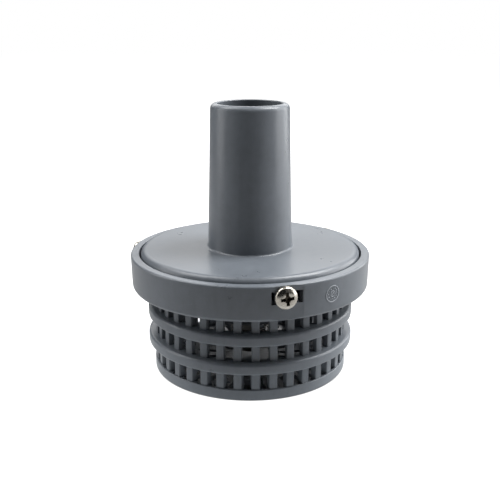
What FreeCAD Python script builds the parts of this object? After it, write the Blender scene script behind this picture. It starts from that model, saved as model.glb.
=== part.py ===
import FreeCAD, Part
import math
import os

# Foot valve with a slotted strainer, in millimetres.
# Origin: middle of the base. +Z: up the valve's axis, towards the hose spigot.
# Bearings on plan are in degrees from -Y towards +X.

# ---- driving dimensions ---------------------------------------------------------------------------

# Strainer basket
WALL_OUTER_R = 40.4          # outside of the upright bars
WALL_T = 2.4
BAND_PROUD = 0.6             # plain band at the foot, past the bars
BAND_H = 4.6
FLOOR_T = 2.2
HOOP_PROUD = 3.0             # hoops past the bars
HOOP_H = 4.6
WINDOW_COUNT = 36            # windows in one row
WINDOW_ROWS = 3
WINDOW_H = 7.1
WINDOW_SHARE = 0.607         # share of the pitch that is open
WINDOW_BEARING = -1.885      # middle of one window
NECK_H = 3.0                 # plain neck above the top row
BASKET_FLANGE_T = 2.0
FLOOR_HUB_R = 9.0
FLOOR_RIB_R = 25.0           # middle of the plain ring between the two slot circles
FLOOR_RIB_W = 3.0
FLOOR_SLOT_W = 2.4
INNER_SLOT_COUNT = 18
FLOOR_EDGE_W = 3.0           # plain floor inside the wall

# Clamp ring
RING_DRAFT = 0.4             # the outside is this much smaller at the bottom
RING_WALL = 3.5
LIP_T = 2.2
LIP_W = 2.6                  # lip inwards from the ring's inside
SLOT_W = 12.2
SLOT_SPARE = 0.6             # window taller than the screw
SLOT_BEARING = 16.2
PAD_W = 13.4                 # upright flat that the screw head sits on, where it meets the middle height
MARK_BEARING = 38.9
MARK_UP = 7.8                # mark's middle above the ring's bottom
MARK_R = 3.4
MARK_LINE = 0.45
MARK_PROUD = 0.2

# Outlet cap
SPIGOT_TIP_R = 16.0
SPIGOT_ROOT_R = 17.6
SPIGOT_LENGTH = 59.3
SPIGOT_WALL = 1.9
COVER_T = 3.0
COVER_EDGE_ROUND = 2.8
SKIRT_T = 2.4
SKIRT_H = 6.9
COVER_STAND = 1.8            # cover's top above the ring's
SEAL_WALL_IN = 5.4           # wall that presses on the gasket, inwards from the skirt
SEAL_WALL_T = 3.0
RIB_COUNT = 6
RIB_T = 1.8
RIB_H = 3.0
BOSS_T = 1.2                 # boss round the screw
BOSS_UP = 0.2                # boss above the skirt's bottom
BOSS_SET_BACK = 0.4          # boss's end inside the skirt's outside
ROOT = 0.5                   # how far ribs and bosses run into the walls they stand on

# Screws that hold the ring
SCREW_COUNT = 3
SCREW_BEARING = 15.2
SCREW_SHANK_R = 2.1
SCREW_LENGTH = 9.5
SCREW_HEAD_R = 4.4
SCREW_HEAD_H = 3.0
RECESS_SPAN = 5.2
RECESS_W = 1.15
RECESS_DEPTH = 1.7

# Valve body
BODY_FLANGE_T = 2.0
CUP_IN = 4.0                 # cup inwards from the basket's wall
CUP_WALL = 2.0
CUP_TAPER = 6.5              # cup's floor inwards from its upper wall
CUP_DROP = 13.1              # cup's underside below the flange's underside
CUP_CONE_H = 6.6
PORT_IN = 8.5                # port inwards from the cup's foot
SEAT_W = 2.0
SEAT_H = 1.0
SPIDER_ARMS = 4
SPIDER_ARM_T = 2.0
SPIDER_ARM_H = 3.0
GUIDE_WALL = 1.8
GASKET_T = 1.0
GASKET_MARGIN = 0.4          # gasket wider than the wall that presses it, each side

# Poppet and its stem
LIFT = 8.0
STEM_R = 3.0
BUSH_WALL = 1.2
FOOT_GAP = 2.3               # stem's foot above the basket's floor
POPPET_LAP = 3.0             # poppet past the seat
POPPET_T = 2.5
POPPET_HUB_W = 3.5           # hub round the stem
POPPET_HUB_H = 1.5
SEAL_IN = 1.0                # seal inwards from the poppet's rim
SEAL_T = 2.0
PLATE_IN = 4.0               # plate inwards from the port
PLATE_T = 1.4
COLLAR_W = 1.6
COLLAR_T = 1.2
WASHER_W = 3.0
WASHER_T = 1.0
NUT_W = 2.0                  # nut's flats past the stem
NUT_H = 5.0
THIN_NUT_H = 3.2
NUT_CHAMFER = 0.5
STEM_END = 1.0               # stem past each nut
SPRING_WIRE = 0.8
SPRING_TURNS = 6
RETAINER_T = 1.2
RETAINER_RIM_H = 1.0
RETAINER_RIM_T = 0.8

# Clearances
RING_GAP = 0.7               # ring over the cover and over the flanges
LIP_GAP = 0.5                # basket's neck in the lip
RUNNING_GAP = 0.05           # stem in its bush
SLIP_GAP = 0.05              # pieces slipped over the stem, and screws in their holes
STOP_GAP = 0.1               # retainer below the guide at full lift
COLLAR_GAP = 0.4             # stem's collar above the guide when the poppet is seated
NOTCH_GAP = 0.5              # notch in the skirt, each side of the ring's window
SPRING_GAP = 0.05            # spring's ends off the faces they press
SPRING_GUIDE_GAP = 1.55      # spring round the guide
SPRING_RIM_GAP = 0.4         # spring in the retainer's rim
BOSS_GASKET_GAP = 0.3        # bosses round the gasket

# Roundings
EDGE_ROUND = 0.3             # moulded and turned edges
STEP_ROUND = 0.4
FILLET = 0.8
HOOP_ROUND = 1.1
BAND_ROUND = 0.9
RING_FOOT_ROUND = 1.8
RING_TOP_ROUND = 0.9
LIP_ROUND = 0.5
TIP_ROUND = 1.6
BORE_ROUND = 0.25
CUP_ROUND = 1.0
HEAD_CROWN_ROUND = 2.0

# Construction
PAST = 1.0                   # cutters run this far past what they cut
HEAD_SIDE_SHARE = 0.62       # of the head's height
HEAD_SIDE_ROUND_SHARE = 0.42
HEAD_CROWN_SHARE = 0.55      # of the head's radius
POINT_SHARE = 0.7            # screw's point, of the shank's radius
RECESS_FOOT_SHARE = 0.8      # recess core's radius over the recess's arm width
RECESS_MOUTH_SHARE = 1.3

# ---- heights and radii that follow ----------------------------------------------------------------

ROW_PITCH = WINDOW_H + HOOP_H
NECK_Z = BAND_H + WINDOW_ROWS * ROW_PITCH - HOOP_H
WALL_INNER_R = WALL_OUTER_R - WALL_T
BAND_R = WALL_OUTER_R + BAND_PROUD
HOOP_R = WALL_OUTER_R + HOOP_PROUD
LIP_R = HOOP_R + LIP_GAP
RING_INNER_R = LIP_R + LIP_W
RING_TOP_R = RING_INNER_R + RING_WALL
COVER_R = RING_INNER_R - RING_GAP
SEAL_WALL_R = COVER_R - SKIRT_T - SEAL_WALL_IN
SEAL_WALL_INNER_R = SEAL_WALL_R - SEAL_WALL_T
GASKET_INNER_R = SEAL_WALL_INNER_R - GASKET_MARGIN
GASKET_OUTER_R = SEAL_WALL_R + GASKET_MARGIN
BOSS_R = SCREW_SHANK_R + BOSS_T
CUP_R = WALL_INNER_R - CUP_IN
CUP_FOOT_R = CUP_R - CUP_TAPER
PORT_R = CUP_FOOT_R - PORT_IN
SEAT_R = PORT_R + SEAT_W
POPPET_R = SEAT_R + POPPET_LAP
SEAL_R = POPPET_R - SEAL_IN
PLATE_R = PORT_R - PLATE_IN
STEM_BORE_R = STEM_R + SLIP_GAP
BUSH_BORE_R = STEM_R + RUNNING_GAP
BUSH_R = BUSH_BORE_R + BUSH_WALL
GUIDE_R = BUSH_R + GUIDE_WALL
SPRING_R = GUIDE_R + SPRING_GUIDE_GAP + SPRING_WIRE / 2
RETAINER_R = SPRING_R + SPRING_WIRE / 2 + SPRING_RIM_GAP + RETAINER_RIM_T
NUT_ACROSS_FLATS = 2 * (STEM_R + NUT_W)

BASKET_FLANGE_Z = NECK_Z + NECK_H
BODY_FLANGE_Z = BASKET_FLANGE_Z + BASKET_FLANGE_T
SKIRT_Z = BODY_FLANGE_Z + BODY_FLANGE_T
GASKET_TOP_Z = SKIRT_Z + GASKET_T
COVER_UNDER_Z = SKIRT_Z + SKIRT_H
COVER_Z = COVER_UNDER_Z + COVER_T
TIP_Z = COVER_Z + SPIGOT_LENGTH
RING_Z = BASKET_FLANGE_Z - LIP_T
RING_TOP_Z = COVER_Z - COVER_STAND
RING_H = RING_TOP_Z - RING_Z

SCREW_Z = SKIRT_Z + BOSS_UP + BOSS_R
SLOT_TOP_Z = SCREW_Z + SCREW_SHANK_R + SLIP_GAP
SLOT_Z = SCREW_Z - SCREW_SHANK_R - SLIP_GAP - SLOT_SPARE

CUP_UNDER_Z = BODY_FLANGE_Z - CUP_DROP
CUP_FLOOR_Z = CUP_UNDER_Z + CUP_WALL
SEAT_Z = CUP_FLOOR_Z + SEAT_H
PLATE_Z = SEAT_Z - PLATE_T
COLLAR_Z = PLATE_Z - COLLAR_T
GUIDE_TOP_Z = COLLAR_Z - COLLAR_GAP
ARM_Z = GUIDE_TOP_Z - SPIDER_ARM_H
STEM_FOOT_Z = FLOOR_T + FOOT_GAP
THIN_NUT_Z = STEM_FOOT_Z + STEM_END
RETAINER_Z = THIN_NUT_Z + THIN_NUT_H
RETAINER_TOP_Z = RETAINER_Z + RETAINER_T
GUIDE_Z = RETAINER_TOP_Z + LIFT + STOP_GAP
POPPET_Z = SEAT_Z + SEAL_T
HUB_TOP_Z = POPPET_Z + POPPET_T + POPPET_HUB_H
NUT_Z = HUB_TOP_Z + WASHER_T
STEM_TOP_Z = NUT_Z + NUT_H + STEM_END

AXIS = FreeCAD.Vector(0, 0, 1)
ORIGIN = FreeCAD.Vector(0, 0, 0)
FULL_TURN = 360.0

# ---- helpers --------------------------------------------------------------------------------------


def rounded_face(corners):
    """Face in the XZ plane from (x, z) or (x, z, radius) corners, each corner rounded by its radius."""
    points = [FreeCAD.Vector(c[0], 0, c[1]) for c in corners]
    radii = [c[2] if len(c) > 2 else 0.0 for c in corners]
    starts = []
    ends = []
    arcs = []
    for i, here in enumerate(points):
        back = (points[i - 1] - here).normalize()
        ahead = (points[(i + 1) % len(points)] - here).normalize()
        if radii[i] == 0.0:
            starts.append(here)
            ends.append(here)
            arcs.append(None)
            continue
        half = math.acos(max(-1.0, min(1.0, back.dot(ahead)))) / 2
        reach = radii[i] / math.tan(half)
        middle = (back + ahead).normalize() * (radii[i] / math.sin(half) - radii[i])
        starts.append(here + back * reach)
        ends.append(here + ahead * reach)
        arcs.append(Part.Arc(starts[-1], here + middle, ends[-1]).toShape())
    edges = []
    for i in range(len(points)):
        if arcs[i] is not None:
            edges.append(arcs[i])
        following = starts[(i + 1) % len(points)]
        if (following - ends[i]).Length > 1e-6:
            edges.append(Part.LineSegment(ends[i], following).toShape())
    return Part.Face(Part.Wire(Part.__sortEdges__(edges)))


def turned(corners):
    """Solid of revolution about the valve's axis from a section's corners."""
    return rounded_face(corners).revolve(ORIGIN, AXIS, FULL_TURN)


def ring_solid(inner_r, outer_r, bottom_z, top_z, edge=0.0):
    """Plain ring, its four edges rounded by edge."""
    return turned([
        (inner_r, bottom_z, edge),
        (outer_r, bottom_z, edge),
        (outer_r, top_z, edge),
        (inner_r, top_z, edge),
    ])


def at_bearing(shape, bearing):
    """Copy of a shape drawn towards -Y, turned about the axis to its bearing."""
    copy = shape.copy()
    copy.rotate(ORIGIN, AXIS, bearing)
    return copy


def radial_box(near_r, far_r, width, bottom_z, top_z):
    """Box towards -Y, from one distance off the axis to another."""
    corner = FreeCAD.Vector(-width / 2, -far_r, bottom_z)
    return Part.makeBox(width, far_r - near_r, top_z - bottom_z, corner)


def radial_rod(radius, near_r, far_r, height_z):
    """Cylinder along -Y, from one distance off the axis to another."""
    start = FreeCAD.Vector(0, -near_r, height_z)
    return Part.makeCylinder(radius, far_r - near_r, start, FreeCAD.Vector(0, -1, 0))


def around(shape, count, first_bearing=0.0):
    """Copies of a shape drawn towards -Y, evenly spaced round the axis."""
    return [at_bearing(shape, first_bearing + i * FULL_TURN / count) for i in range(count)]


def hexagon(across_flats, bottom_z, height):
    """Hexagonal prism on the axis."""
    corner_r = across_flats / math.sqrt(3)
    turns = [math.radians(60 * i) for i in range(7)]
    corners = [FreeCAD.Vector(corner_r * math.cos(a), corner_r * math.sin(a), bottom_z) for a in turns]
    return Part.Face(Part.makePolygon(corners)).extrude(FreeCAD.Vector(0, 0, height))


def ring_outer_r(height_z):
    """Clamp ring's outside radius at a height, with its draft."""
    return RING_TOP_R - RING_DRAFT * (RING_TOP_Z - height_z) / RING_H


# ---- outlet cap, ring and basket ------------------------------------------------------------------


def outlet_cap():
    """Hose spigot, cover and skirts in one moulding."""
    cap = turned([
        (SPIGOT_ROOT_R - SPIGOT_WALL, COVER_UNDER_Z, BORE_ROUND),
        (SPIGOT_TIP_R - SPIGOT_WALL, TIP_Z, BORE_ROUND),
        (SPIGOT_TIP_R, TIP_Z, TIP_ROUND),
        (SPIGOT_ROOT_R, COVER_Z, FILLET),
        (COVER_R, COVER_Z, COVER_EDGE_ROUND),
        (COVER_R, SKIRT_Z, EDGE_ROUND),
        (COVER_R - SKIRT_T, SKIRT_Z, EDGE_ROUND),
        (COVER_R - SKIRT_T, COVER_UNDER_Z),
        (SEAL_WALL_R, COVER_UNDER_Z),
        (SEAL_WALL_R, GASKET_TOP_Z),
        (SEAL_WALL_INNER_R, GASKET_TOP_Z),
        (SEAL_WALL_INNER_R, COVER_UNDER_Z),
    ])
    inside_r = COVER_R - SKIRT_T
    notch_w = SLOT_W + 2 * NOTCH_GAP
    notch = radial_box(inside_r - PAST, COVER_R + PAST, notch_w, SKIRT_Z - PAST, SLOT_TOP_Z)
    cap = cap.cut(around(notch, SCREW_COUNT, SLOT_BEARING))
    boss_start = GASKET_OUTER_R + BOSS_GASKET_GAP
    boss_end = COVER_R - BOSS_SET_BACK
    boss = radial_rod(BOSS_R, boss_start, boss_end, SCREW_Z)
    boss = boss.fuse(radial_box(boss_start, boss_end, 2 * BOSS_R, SCREW_Z, COVER_UNDER_Z + ROOT))
    into_wall = SEAL_WALL_R - SEAL_WALL_T / 2
    rib = radial_box(SPIGOT_ROOT_R, into_wall, RIB_T, COVER_UNDER_Z - RIB_H, COVER_UNDER_Z + ROOT)
    cap = cap.fuse(around(boss, SCREW_COUNT, SCREW_BEARING) + around(rib, RIB_COUNT))
    hole_end = screw_seat_r() - SCREW_LENGTH - SLIP_GAP
    hole = radial_rod(SCREW_SHANK_R + SLIP_GAP, hole_end, COVER_R + PAST, SCREW_Z)
    return cap.cut(around(hole, SCREW_COUNT, SCREW_BEARING))


def pad_distance():
    """Distance from the axis to a screw pad at the ring's middle height."""
    middle_r = ring_outer_r(RING_Z + RING_H / 2)
    return math.sqrt(middle_r**2 - (PAD_W / 2) ** 2)


def screw_seat_r():
    """Distance from the axis to the underside of a screw's head."""
    off_middle = math.radians(abs(SCREW_BEARING - SLOT_BEARING))
    lean = RING_DRAFT / RING_H
    at_head = pad_distance() + (SCREW_Z + SCREW_HEAD_R - RING_Z - RING_H / 2) * lean
    return (at_head + SCREW_HEAD_R * math.sin(off_middle)) / math.cos(off_middle)


def clamp_ring():
    """Collar with an inward lip, windows and flats for the screws, and a plain moulded mark."""
    ring = turned([
        (LIP_R, RING_Z, LIP_ROUND),
        (ring_outer_r(RING_Z), RING_Z, RING_FOOT_ROUND),
        (RING_TOP_R, RING_TOP_Z, RING_TOP_ROUND),
        (RING_INNER_R, RING_TOP_Z, EDGE_ROUND),
        (RING_INNER_R, RING_Z + LIP_T),
        (LIP_R, RING_Z + LIP_T),
    ])
    flat = Part.makeBox(4 * PAD_W, PAD_W, 3 * RING_H)
    middle_z = RING_Z + RING_H / 2
    flat.translate(FreeCAD.Vector(-2 * PAD_W, -pad_distance() - PAD_W, middle_z - 1.5 * RING_H))
    lean = math.degrees(math.atan(RING_DRAFT / RING_H))
    flat.rotate(FreeCAD.Vector(0, -pad_distance(), middle_z), FreeCAD.Vector(1, 0, 0), lean)
    window = radial_box(RING_INNER_R - PAST, RING_TOP_R + PAST, SLOT_W, SLOT_Z, SLOT_TOP_Z)
    ring = ring.cut(around(flat, SCREW_COUNT, SLOT_BEARING) + around(window, SCREW_COUNT, SLOT_BEARING))
    mark_z = RING_Z + MARK_UP
    root_r = RING_INNER_R + RING_WALL / 3
    circle = radial_rod(MARK_R, RING_INNER_R, RING_TOP_R + PAST, mark_z)
    inside = radial_rod(MARK_R - MARK_LINE, RING_INNER_R - PAST, RING_TOP_R + 2 * PAST, mark_z)
    circle = circle.cut(inside)
    pip = radial_rod(MARK_R / 3, root_r, RING_TOP_R + PAST, mark_z)
    skin = turned([
        (root_r, RING_Z),
        (ring_outer_r(RING_Z) + MARK_PROUD, RING_Z),
        (RING_TOP_R + MARK_PROUD, RING_TOP_Z),
        (root_r, RING_TOP_Z),
    ])
    mark = at_bearing(circle.fuse(pip), MARK_BEARING).common(skin)
    return ring.fuse(mark).removeSplitter()


def strainer_basket():
    """Slotted basket with two hoops, a base band, a slotted floor and a top flange."""
    corners = [(0, 0), (BAND_R, 0, BAND_ROUND), (BAND_R, BAND_H, STEP_ROUND), (WALL_OUTER_R, BAND_H)]
    for row in range(1, WINDOW_ROWS):
        hoop_z = BAND_H + row * ROW_PITCH - HOOP_H
        corners += [
            (WALL_OUTER_R, hoop_z),
            (HOOP_R, hoop_z, HOOP_ROUND),
            (HOOP_R, hoop_z + HOOP_H, HOOP_ROUND),
            (WALL_OUTER_R, hoop_z + HOOP_H),
        ]
    corners += [
        (WALL_OUTER_R, NECK_Z),
        (HOOP_R, NECK_Z, STEP_ROUND),
        (HOOP_R, BASKET_FLANGE_Z),
        (COVER_R, BASKET_FLANGE_Z),
        (COVER_R, BODY_FLANGE_Z),
        (WALL_INNER_R, BODY_FLANGE_Z),
        (WALL_INNER_R, FLOOR_T, FILLET),
        (0, FLOOR_T),
    ]
    basket = turned(corners)
    opening_w = WINDOW_SHARE * 2 * math.pi * WALL_OUTER_R / WINDOW_COUNT
    cutters = []
    for row in range(WINDOW_ROWS):
        bottom_z = BAND_H + row * ROW_PITCH
        window = radial_box(WALL_INNER_R - PAST, HOOP_R + PAST, opening_w, bottom_z, bottom_z + WINDOW_H)
        cutters += around(window, WINDOW_COUNT, WINDOW_BEARING)
    rib_inner_r = FLOOR_RIB_R - FLOOR_RIB_W / 2
    rib_outer_r = FLOOR_RIB_R + FLOOR_RIB_W / 2
    slot_end_r = WALL_INNER_R - FLOOR_EDGE_W
    inner_slot = radial_box(FLOOR_HUB_R, rib_inner_r, FLOOR_SLOT_W, -PAST, FLOOR_T + PAST)
    outer_slot = radial_box(rib_outer_r, slot_end_r, FLOOR_SLOT_W, -PAST, FLOOR_T + PAST)
    cutters += around(inner_slot, INNER_SLOT_COUNT, WINDOW_BEARING)
    cutters += around(outer_slot, WINDOW_COUNT, WINDOW_BEARING)
    return basket.cut(cutters)


def clamp_screw(bearing):
    """Pan-head self-tapping screw with a cross recess, its axis on a radius of the valve."""
    seat = screw_seat_r()
    head = turned([
        (0, 0),
        (SCREW_HEAD_R, 0, EDGE_ROUND),
        (SCREW_HEAD_R, SCREW_HEAD_H * HEAD_SIDE_SHARE, SCREW_HEAD_H * HEAD_SIDE_ROUND_SHARE),
        (SCREW_HEAD_R * HEAD_CROWN_SHARE, SCREW_HEAD_H, HEAD_CROWN_ROUND),
        (0, SCREW_HEAD_H),
    ])
    shank = turned([
        (0, ROOT),
        (SCREW_SHANK_R, ROOT),
        (SCREW_SHANK_R, POINT_SHARE * SCREW_SHANK_R - SCREW_LENGTH),
        (SCREW_SHANK_R / 2, -SCREW_LENGTH),
        (0, -SCREW_LENGTH),
    ])
    recess_z = SCREW_HEAD_H - RECESS_DEPTH
    slot = Part.makeBox(RECESS_SPAN, RECESS_W, SCREW_HEAD_H)
    slot.translate(FreeCAD.Vector(-RECESS_SPAN / 2, -RECESS_W / 2, recess_z))
    cross_slot = slot.copy()
    cross_slot.rotate(ORIGIN, AXIS, 90)
    foot_r = RECESS_W * RECESS_FOOT_SHARE
    mouth_r = RECESS_W * RECESS_MOUTH_SHARE
    centre = Part.makeCone(foot_r, mouth_r, SCREW_HEAD_H, FreeCAD.Vector(0, 0, recess_z))
    screw = head.fuse(shank).cut([slot, cross_slot, centre])
    screw.rotate(ORIGIN, FreeCAD.Vector(1, 0, 0), 90)
    screw.translate(FreeCAD.Vector(0, -seat, SCREW_Z))
    return at_bearing(screw.removeSplitter(), bearing)


# ---- valve ----------------------------------------------------------------------------------------


def valve_body():
    """Cup with a flange, a port with a raised seat and a spider that holds the guide."""
    cone_top = CUP_UNDER_Z + CUP_CONE_H
    inner_r = CUP_R - CUP_WALL
    inner_cone_r = CUP_FOOT_R - CUP_WALL / 4
    body = turned([
        (COVER_R, SKIRT_Z),
        (COVER_R, BODY_FLANGE_Z),
        (CUP_R, BODY_FLANGE_Z),
        (CUP_R, cone_top, CUP_ROUND),
        (CUP_FOOT_R, CUP_UNDER_Z, FILLET),
        (PORT_R, CUP_UNDER_Z),
        (PORT_R, SEAT_Z, STEP_ROUND),
        (SEAT_R, SEAT_Z, STEP_ROUND),
        (SEAT_R, CUP_FLOOR_Z),
        (inner_cone_r, CUP_FLOOR_Z, FILLET),
        (inner_r, CUP_FLOOR_Z + inner_r - inner_cone_r, CUP_ROUND),
        (inner_r, SKIRT_Z, EDGE_ROUND),
    ])
    arm = radial_box(BUSH_R + GUIDE_WALL / 2, PORT_R + SEAT_W / 2, SPIDER_ARM_T, ARM_Z, GUIDE_TOP_Z)
    hub = ring_solid(BUSH_R, GUIDE_R, GUIDE_Z, GUIDE_TOP_Z, EDGE_ROUND)
    body = body.fuse(around(arm, SPIDER_ARMS, 45.0) + [hub, port_sleeve()])
    return body.removeSplitter()


def port_sleeve():
    """Short tube under the port that the spider's arms run into."""
    return ring_solid(PORT_R, SEAT_R, ARM_Z, CUP_UNDER_Z + CUP_WALL / 2)


def coil_spring(bottom_z, top_z):
    """Spring as a plain helix of round wire between two faces."""
    wire_r = SPRING_WIRE / 2
    start_z = bottom_z + wire_r + SPRING_GAP
    height = top_z - wire_r - SPRING_GAP - start_z
    path = Part.makeHelix(height / SPRING_TURNS, height, SPRING_R)
    path.translate(FreeCAD.Vector(0, 0, start_z))
    circle = Part.makeCircle(wire_r, FreeCAD.Vector(SPRING_R, 0, start_z), FreeCAD.Vector(0, 1, 0))
    section = Part.Wire(circle)
    return Part.Wire(path).makePipeShell([section], True, True)


def spring_retainer():
    """Dished washer under the spring."""
    rim_z = RETAINER_TOP_Z + RETAINER_RIM_H
    return turned([
        (STEM_BORE_R, RETAINER_Z),
        (RETAINER_R, RETAINER_Z, STEP_ROUND),
        (RETAINER_R, rim_z, EDGE_ROUND),
        (RETAINER_R - RETAINER_RIM_T, rim_z, EDGE_ROUND),
        (RETAINER_R - RETAINER_RIM_T, RETAINER_TOP_Z),
        (STEM_BORE_R, RETAINER_TOP_Z),
    ])


def valve_stem():
    """Stem with the collar that carries the poppet."""
    return turned([
        (0, STEM_FOOT_Z),
        (STEM_R, STEM_FOOT_Z, STEP_ROUND),
        (STEM_R, COLLAR_Z),
        (STEM_R + COLLAR_W, COLLAR_Z),
        (STEM_R + COLLAR_W, PLATE_Z),
        (STEM_R, PLATE_Z),
        (STEM_R, STEM_TOP_Z, STEP_ROUND),
        (0, STEM_TOP_Z),
    ])


def poppet_disc():
    """Disc with a low hub."""
    top_z = POPPET_Z + POPPET_T
    hub_r = STEM_R + POPPET_HUB_W
    return turned([
        (STEM_BORE_R, POPPET_Z),
        (POPPET_R, POPPET_Z, STEP_ROUND),
        (POPPET_R, top_z, FILLET),
        (hub_r, top_z, STEP_ROUND),
        (hub_r, HUB_TOP_Z, STEP_ROUND),
        (STEM_BORE_R, HUB_TOP_Z),
    ])


def nut(bottom_z, height):
    """Hexagon nut on the stem, its corners turned off."""
    corner_r = NUT_ACROSS_FLATS / math.sqrt(3)
    cone = turned([
        (0, bottom_z),
        (corner_r - NUT_CHAMFER, bottom_z),
        (corner_r + NUT_CHAMFER, bottom_z + NUT_CHAMFER),
        (corner_r + NUT_CHAMFER, bottom_z + height - NUT_CHAMFER),
        (corner_r - NUT_CHAMFER, bottom_z + height),
        (0, bottom_z + height),
    ])
    bore_start = FreeCAD.Vector(0, 0, bottom_z - PAST)
    bore = Part.makeCylinder(STEM_BORE_R, height + 2 * PAST, bore_start)
    return hexagon(NUT_ACROSS_FLATS, bottom_z, height).common(cone).cut(bore)


def build():
    """Every sub-part, by node name."""
    parts = {
        "outlet_cap": outlet_cap(),
        "clamp_ring": clamp_ring(),
        "strainer_basket": strainer_basket(),
        "valve_body": valve_body(),
        "cap_gasket": ring_solid(GASKET_INNER_R, GASKET_OUTER_R, SKIRT_Z, GASKET_TOP_Z),
        "guide_bush": ring_solid(BUSH_BORE_R, BUSH_R, GUIDE_Z, GUIDE_TOP_Z),
        "return_spring": coil_spring(RETAINER_TOP_Z, ARM_Z),
        "valve_stem": valve_stem(),
        "seal_plate": ring_solid(STEM_BORE_R, PLATE_R, PLATE_Z, SEAT_Z, EDGE_ROUND),
        "poppet_seal": ring_solid(STEM_BORE_R, SEAL_R, SEAT_Z, POPPET_Z, EDGE_ROUND),
        "poppet_disc": poppet_disc(),
        "top_washer": ring_solid(STEM_BORE_R, STEM_R + WASHER_W, HUB_TOP_Z, NUT_Z),
        "top_nut": nut(NUT_Z, NUT_H),
        "spring_retainer": spring_retainer(),
        "stem_lock_nut": nut(THIN_NUT_Z, THIN_NUT_H),
    }
    for i in range(SCREW_COUNT):
        name = "clamp_screw_" + "abcdefgh"[i]
        parts[name] = clamp_screw(SCREW_BEARING + i * FULL_TURN / SCREW_COUNT)
    return parts


def main():
    """Write one STEP file for each sub-part."""
    os.makedirs("parts", exist_ok=True)
    for name, shape in build().items():
        shape.exportStep("parts/" + name + ".step")
        solids = len(shape.Solids)
        print(f"{name}: {solids} solid(s), {shape.Volume:.0f} mm3, valid {shape.isValid()}")


main()
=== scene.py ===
"""Looks of a foot valve: outlet cap with hose spigot, clamp ring, slotted strainer and lift valve.

Everything is in metres in the frame's own axes: the base stands on z = 0, +Z runs up the hose spigot and
bearings on plan are measured from -Y towards +X.
"""

import logging
import math
from dataclasses import dataclass, field
from enum import Enum
from functools import partial
from typing import Callable, List, Optional, Sequence, Tuple

import bmesh
import bpy
from mathutils import Matrix, Vector


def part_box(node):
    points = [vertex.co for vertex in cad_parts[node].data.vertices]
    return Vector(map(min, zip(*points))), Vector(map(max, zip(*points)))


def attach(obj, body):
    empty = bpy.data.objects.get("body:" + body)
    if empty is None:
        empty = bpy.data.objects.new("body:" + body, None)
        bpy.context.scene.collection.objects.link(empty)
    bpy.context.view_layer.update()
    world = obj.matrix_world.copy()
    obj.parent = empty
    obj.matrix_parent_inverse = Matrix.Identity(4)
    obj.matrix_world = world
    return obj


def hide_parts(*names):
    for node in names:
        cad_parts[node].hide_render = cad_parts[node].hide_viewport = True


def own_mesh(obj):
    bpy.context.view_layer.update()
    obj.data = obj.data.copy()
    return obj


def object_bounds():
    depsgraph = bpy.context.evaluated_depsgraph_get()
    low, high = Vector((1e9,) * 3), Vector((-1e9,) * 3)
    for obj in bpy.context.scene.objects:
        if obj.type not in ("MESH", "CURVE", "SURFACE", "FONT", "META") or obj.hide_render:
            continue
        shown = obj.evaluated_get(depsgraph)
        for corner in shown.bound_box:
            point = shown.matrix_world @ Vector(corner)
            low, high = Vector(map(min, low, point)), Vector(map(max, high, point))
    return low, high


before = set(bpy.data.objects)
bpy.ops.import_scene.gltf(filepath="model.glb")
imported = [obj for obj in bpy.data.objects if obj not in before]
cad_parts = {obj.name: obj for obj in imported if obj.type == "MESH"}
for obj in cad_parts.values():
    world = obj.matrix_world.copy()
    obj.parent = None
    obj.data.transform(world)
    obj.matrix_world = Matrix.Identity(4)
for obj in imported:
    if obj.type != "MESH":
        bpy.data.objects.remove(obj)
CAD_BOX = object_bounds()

log = logging.getLogger("foot_valve")

MM = 0.001
FULL_TURN = 2.0 * math.pi
UP = Vector((0.0, 0.0, 1.0))
CENTRE = Vector((0.0, 0.0, 0.0))
WELD = 2e-6                      # vertices nearer than this are one
ACROSS = Vector((1.0, 0.0, 0.0))
LEVEL = 0.7                      # a face whose normal's z is beyond this lies level
UPRIGHT_SHARE = 0.8              # an edge this share of an opening's height stands upright
SMOOTH_ANGLE = math.radians(32)  # edges sharper than this stay crisp


class Body(Enum):
    """The two bodies of the frame that pieces ride on."""

    HOUSING = "housing"
    POPPET = "poppet"


class Slot(Enum):
    """Finishes that the record knows."""

    GREY_PLASTIC = "grey_plastic"
    BLACK_RUBBER = "black_rubber"
    WHITE_PLASTIC = "white_plastic"
    SPRING_STEEL = "spring_steel"
    STAINLESS = "stainless"
    PLATED_STEEL = "plated_steel"


# ---- node groups ----------------------------------------------------------------------------------


class NodeGroup:
    """A shader node group that is built once and placed in each material that asks for it."""

    name: str = ""
    inputs: Sequence[Tuple[str, str, float]] = ()
    outputs: Sequence[Tuple[str, str]] = ()

    def tree(self) -> bpy.types.NodeTree:
        """Find the group, or build it the first time.

        Returns:
            The group's node tree.
        """
        found = bpy.data.node_groups.get(self.name)
        if found is not None:
            return found
        tree = bpy.data.node_groups.new(self.name, "ShaderNodeTree")
        for label, kind, value in self.inputs:
            socket = tree.interface.new_socket(name=label, in_out="INPUT", socket_type=kind)
            if kind == "NodeSocketFloat":
                socket.default_value = value
        for label, kind in self.outputs:
            tree.interface.new_socket(name=label, in_out="OUTPUT", socket_type=kind)
        self.fill(tree, tree.nodes.new("NodeGroupInput"), tree.nodes.new("NodeGroupOutput"))
        return tree

    def fill(self, tree: bpy.types.NodeTree, given: bpy.types.Node, result: bpy.types.Node) -> None:
        """Add the group's own nodes.

        Args:
            tree: the group's tree.
            given: its input node.
            result: its output node.
        """
        raise NotImplementedError


def add_node(tree: bpy.types.NodeTree, kind: str, **settings: object) -> bpy.types.Node:
    """Add a node and set its properties.

    Args:
        tree: tree that gets the node.
        kind: the node's type name.
        settings: properties, by name.

    Returns:
        The new node.
    """
    node = tree.nodes.new(kind)
    for label, value in settings.items():
        setattr(node, label, value)
    return node


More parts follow.
